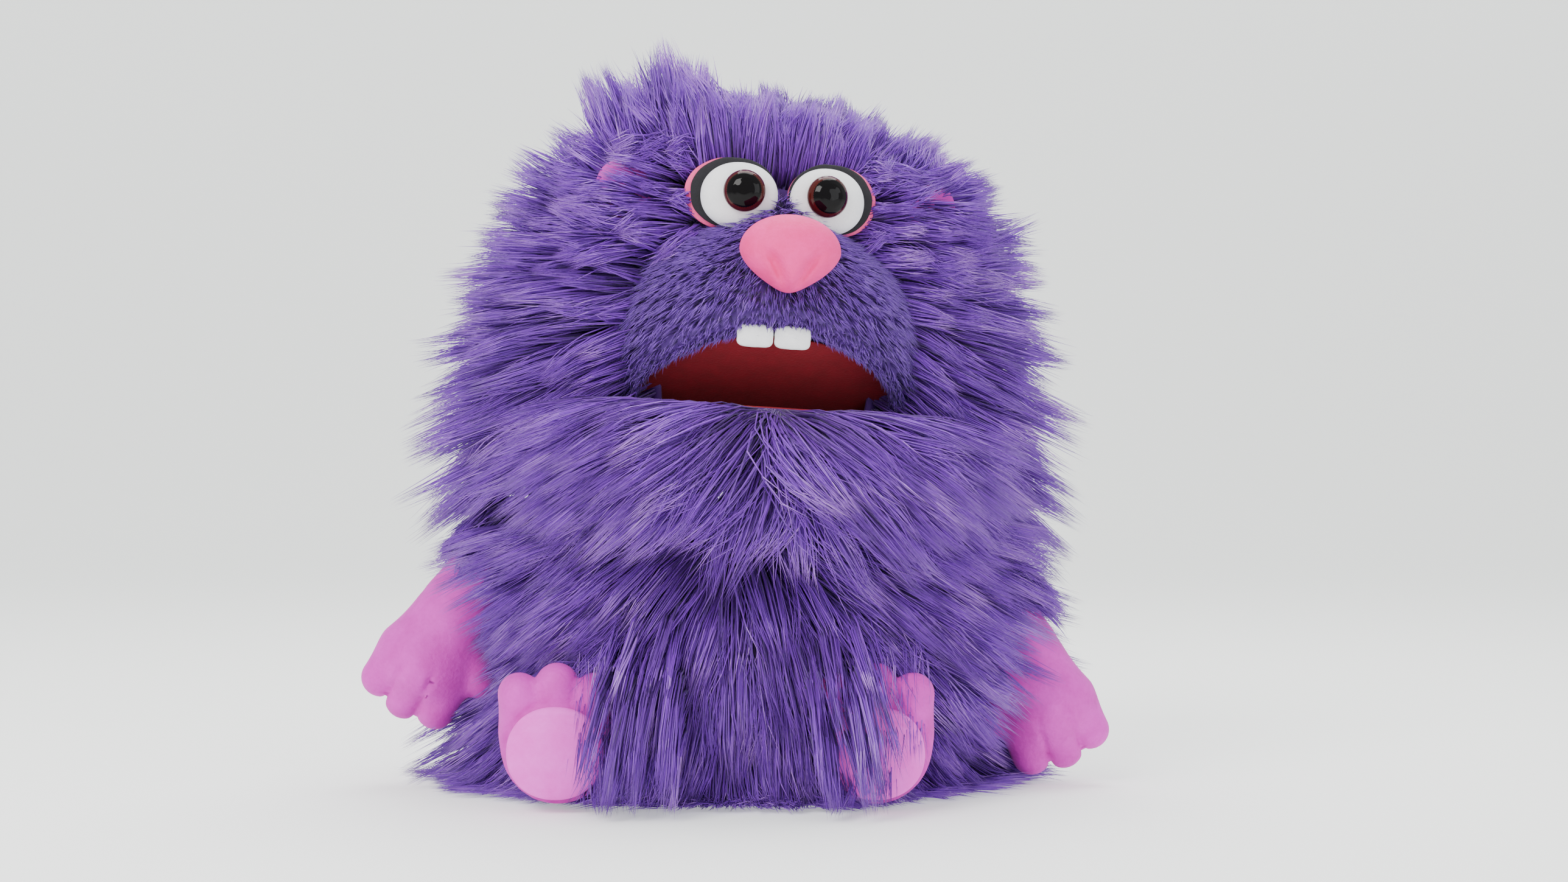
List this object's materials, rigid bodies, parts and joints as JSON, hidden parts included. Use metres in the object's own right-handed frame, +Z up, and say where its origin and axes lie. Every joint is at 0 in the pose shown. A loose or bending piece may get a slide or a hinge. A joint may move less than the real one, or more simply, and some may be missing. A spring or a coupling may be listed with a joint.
{
  "type": "mouth puppet",
  "caption": "Long-haired monster hand puppet with an opening felt mouth, plush nose, stuffed eyes, hanging arms and legs, and a sleeve for the hand from behind.",
  "frame": {"origin": "on the underside of the seat, where the puppet stands on a table; the neck's axis is 10 mm behind it", "axes": "+Z up, the face looks towards -Y, pieces named left are at -X and right at +X, as seen from the front"},
  "size_m": [0.3369, 0.2214, 0.3177],
  "materials": {
    "long_fur": "long-pile artificial fur, violet with lighter tips",
    "short_fur": "short-pile artificial fur, dark violet",
    "pink_plush": "velour plush",
    "nose_plush": "velour plush",
    "white_felt": "felt",
    "black_felt": "felt",
    "red_felt": "felt",
    "eye_plastic": "polished",
    "board": "stiff sheet",
    "lining": "plain woven lining",
    "filling": "polyester filling",
    "washer_plastic": "moulded"
  },
  "bodies": {
    "torso": {"torso_fur_front": "long_fur", "torso_fur_left": "long_fur", "torso_fur_right": "long_fur", "torso_fur_back_left": "long_fur", "torso_fur_back_right": "long_fur", "torso_fur_back_upper": "long_fur", "torso_filling_front": "filling", "torso_filling_left": "filling", "torso_filling_right": "filling", "sleeve_lining": "lining", "seat_panel": "long_fur", "seat_filling": "filling", "opening_hem": "lining"},
    "neck_lower": {"neck_ring_lower": "lining"},
    "neck_upper": {"neck_ring_upper": "lining"},
    "head": {"head_fur_crown": "long_fur", "head_fur_left": "long_fur", "head_fur_right": "long_fur", "head_fur_back": "long_fur", "head_filling_left": "filling", "head_filling_right": "filling", "head_filling_back": "filling", "head_filling_top": "filling", "brow": "short_fur", "muzzle": "short_fur", "muzzle_filling": "filling", "nose": "nose_plush", "left_eye_lid": "pink_plush", "left_eye_rim": "black_felt", "left_eye_white": "white_felt", "left_pupil": "eye_plastic", "left_eye_washer": "washer_plastic", "right_eye_lid": "pink_plush", "right_eye_rim": "black_felt", "right_eye_white": "white_felt", "right_pupil": "eye_plastic", "right_eye_washer": "washer_plastic", "left_ear": "pink_plush", "right_ear": "pink_plush", "palate_board": "board", "palate_lining": "red_felt", "finger_pocket": "lining", "mouth_fold": "red_felt", "left_tooth": "white_felt", "right_tooth": "white_felt"},
    "jaw": {"jaw_board": "board", "jaw_lining": "red_felt", "chin_fur": "long_fur", "thumb_pocket": "lining"},
    "left_arm": {"left_upper_arm": "long_fur"},
    "left_forearm": {"left_hand": "pink_plush"},
    "right_arm": {"right_upper_arm": "long_fur"},
    "right_forearm": {"right_hand": "pink_plush"},
    "left_leg": {"left_leg": "pink_plush", "left_foot": "pink_plush", "left_sole": "pink_plush"},
    "right_leg": {"right_leg": "pink_plush", "right_foot": "pink_plush", "right_sole": "pink_plush"}
  },
  "joints": [
    {"name": "head_turn", "type": "hinge", "parent": "torso", "child": "neck_lower", "pos_m": [0, 0.01, 0.135], "axis": [0, 0, 1], "range_deg": [-30, 30]},
    {"name": "head_tilt", "type": "hinge", "parent": "neck_lower", "child": "neck_upper", "pos_m": [0, 0.01, 0.135], "axis": [0.1392, -0.9903, 0], "range_deg": [-6.5, 10]},
    {"name": "head_nod", "type": "hinge", "parent": "neck_upper", "child": "head", "pos_m": [0, 0.01, 0.135], "axis": [0.9884, 0.1389, -0.061], "range_deg": [-18, 12]},
    {"name": "mouth_open", "type": "hinge", "parent": "head", "child": "jaw", "pos_m": [0.0082, -0.03429, 0.16694], "axis": [0.9884, 0.1389, -0.061], "range_deg": [-20, 12]},
    {"name": "left_arm_raise", "type": "hinge", "parent": "torso", "child": "left_arm", "pos_m": [-0.104, 0, 0.114], "axis": [0, 1, 0], "range_deg": [0, 80]},
    {"name": "left_elbow_bend", "type": "hinge", "parent": "left_arm", "child": "left_forearm", "pos_m": [-0.11945, 0, 0.08829], "axis": [-0.8572, 0, 0.515], "range_deg": [-10, 45]},
    {"name": "right_arm_raise", "type": "hinge", "parent": "torso", "child": "right_arm", "pos_m": [0.106, 0, 0.0972], "axis": [0, -1, 0], "range_deg": [0, 80]},
    {"name": "right_elbow_bend", "type": "hinge", "parent": "right_arm", "child": "right_forearm", "pos_m": [0.1182, 0, 0.06979], "axis": [-0.9135, 0, -0.4067], "range_deg": [-10, 45]},
    {"name": "left_leg_swing", "type": "hinge", "parent": "torso", "child": "left_leg", "pos_m": [-0.075, -0.049, 0.02], "axis": [1, 0, 0], "range_deg": [-12, 45]},
    {"name": "right_leg_swing", "type": "hinge", "parent": "torso", "child": "right_leg", "pos_m": [0.056, -0.049, 0.02], "axis": [1, 0, 0], "range_deg": [-12, 45]}
  ]
}
